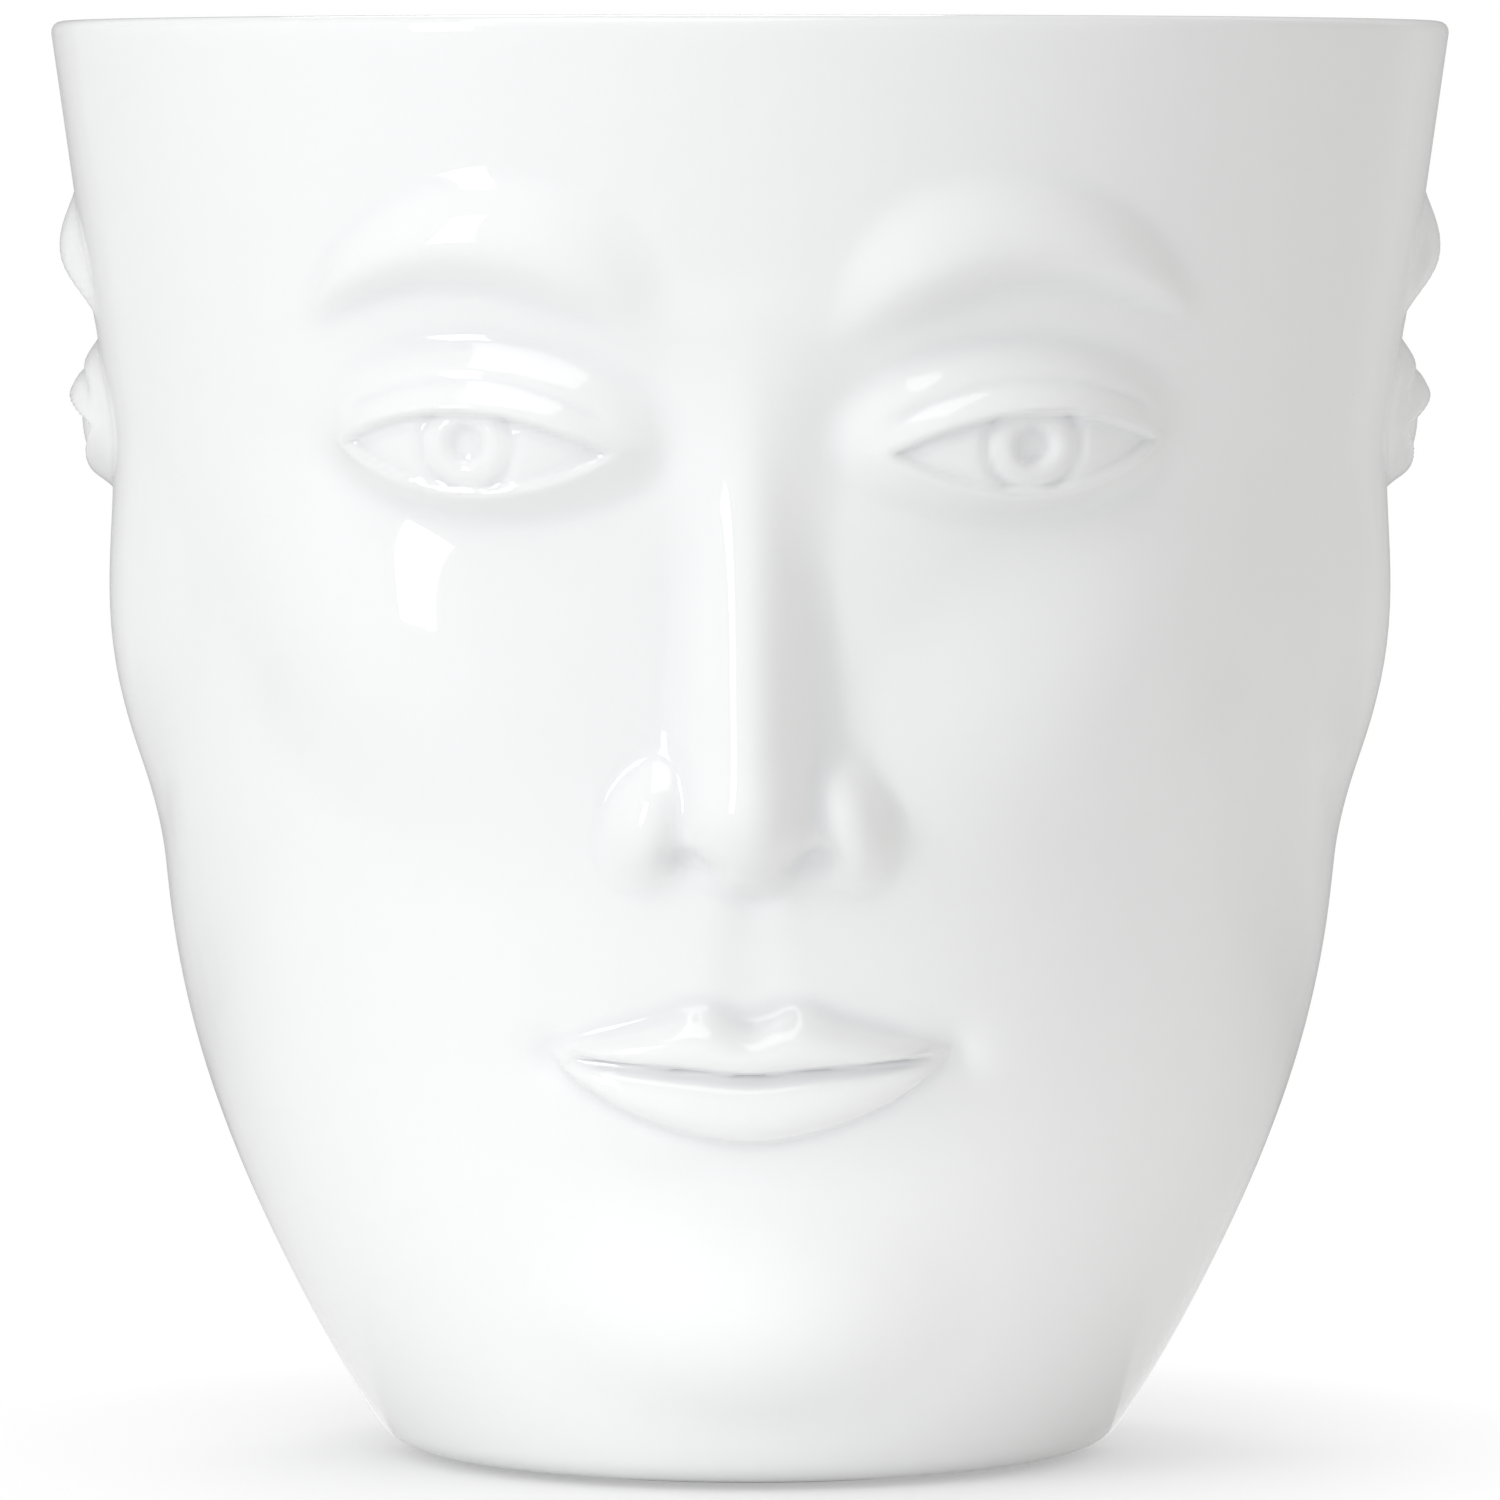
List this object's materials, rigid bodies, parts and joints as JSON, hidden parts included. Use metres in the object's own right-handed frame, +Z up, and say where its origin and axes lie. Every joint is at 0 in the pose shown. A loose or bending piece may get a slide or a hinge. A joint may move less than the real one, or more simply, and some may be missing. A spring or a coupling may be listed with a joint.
{
  "type": "face vase",
  "caption": "Tapered glazed porcelain vase with calm faces in relief all round its wall, open at the rim and standing on a plain foot ring; holds flowers and water.",
  "frame": {"origin": "on the vase's axis, in the plane of the foot it stands on", "axes": "+Z up along the axis towards the open rim; -Y out of the middle of the front face"},
  "size_m": [0.1996, 0.1996, 0.205],
  "materials": {
    "white_glaze": "clear gloss glaze over white porcelain",
    "biscuit": "unglazed, dry and matte"
  },
  "bodies": {
    "root": {"floor_slab": "white_glaze", "foot_ring": "biscuit", "front_face_chin": "white_glaze", "front_face_left_cheekbone": "white_glaze", "front_face_left_eyeball": "white_glaze", "front_face_left_eyebrow": "white_glaze", "front_face_left_iris": "white_glaze", "front_face_left_lower_eyelid": "white_glaze", "front_face_left_nostril": "white_glaze", "front_face_left_upper_eyelid": "white_glaze", "front_face_lower_lip": "white_glaze", "front_face_nose": "white_glaze", "front_face_right_cheekbone": "white_glaze", "front_face_right_eyeball": "white_glaze", "front_face_right_eyebrow": "white_glaze", "front_face_right_iris": "white_glaze", "front_face_right_lower_eyelid": "white_glaze", "front_face_right_nostril": "white_glaze", "front_face_right_upper_eyelid": "white_glaze", "front_face_upper_lip": "white_glaze", "left_face_chin": "white_glaze", "left_face_left_cheekbone": "white_glaze", "left_face_left_eyeball": "white_glaze", "left_face_left_eyebrow": "white_glaze", "left_face_left_iris": "white_glaze", "left_face_left_lower_eyelid": "white_glaze", "left_face_left_nostril": "white_glaze", "left_face_left_upper_eyelid": "white_glaze", "left_face_lower_lip": "white_glaze", "left_face_nose": "white_glaze", "left_face_right_cheekbone": "white_glaze", "left_face_right_eyeball": "white_glaze", "left_face_right_eyebrow": "white_glaze", "left_face_right_iris": "white_glaze", "left_face_right_lower_eyelid": "white_glaze", "left_face_right_nostril": "white_glaze", "left_face_right_upper_eyelid": "white_glaze", "left_face_upper_lip": "white_glaze", "right_face_chin": "white_glaze", "right_face_left_cheekbone": "white_glaze", "right_face_left_eyeball": "white_glaze", "right_face_left_eyebrow": "white_glaze", "right_face_left_iris": "white_glaze", "right_face_left_lower_eyelid": "white_glaze", "right_face_left_nostril": "white_glaze", "right_face_left_upper_eyelid": "white_glaze", "right_face_lower_lip": "white_glaze", "right_face_nose": "white_glaze", "right_face_right_cheekbone": "white_glaze", "right_face_right_eyeball": "white_glaze", "right_face_right_eyebrow": "white_glaze", "right_face_right_iris": "white_glaze", "right_face_right_lower_eyelid": "white_glaze", "right_face_right_nostril": "white_glaze", "right_face_right_upper_eyelid": "white_glaze", "right_face_upper_lip": "white_glaze", "vessel_wall": "white_glaze"}
  },
  "joints": []
}
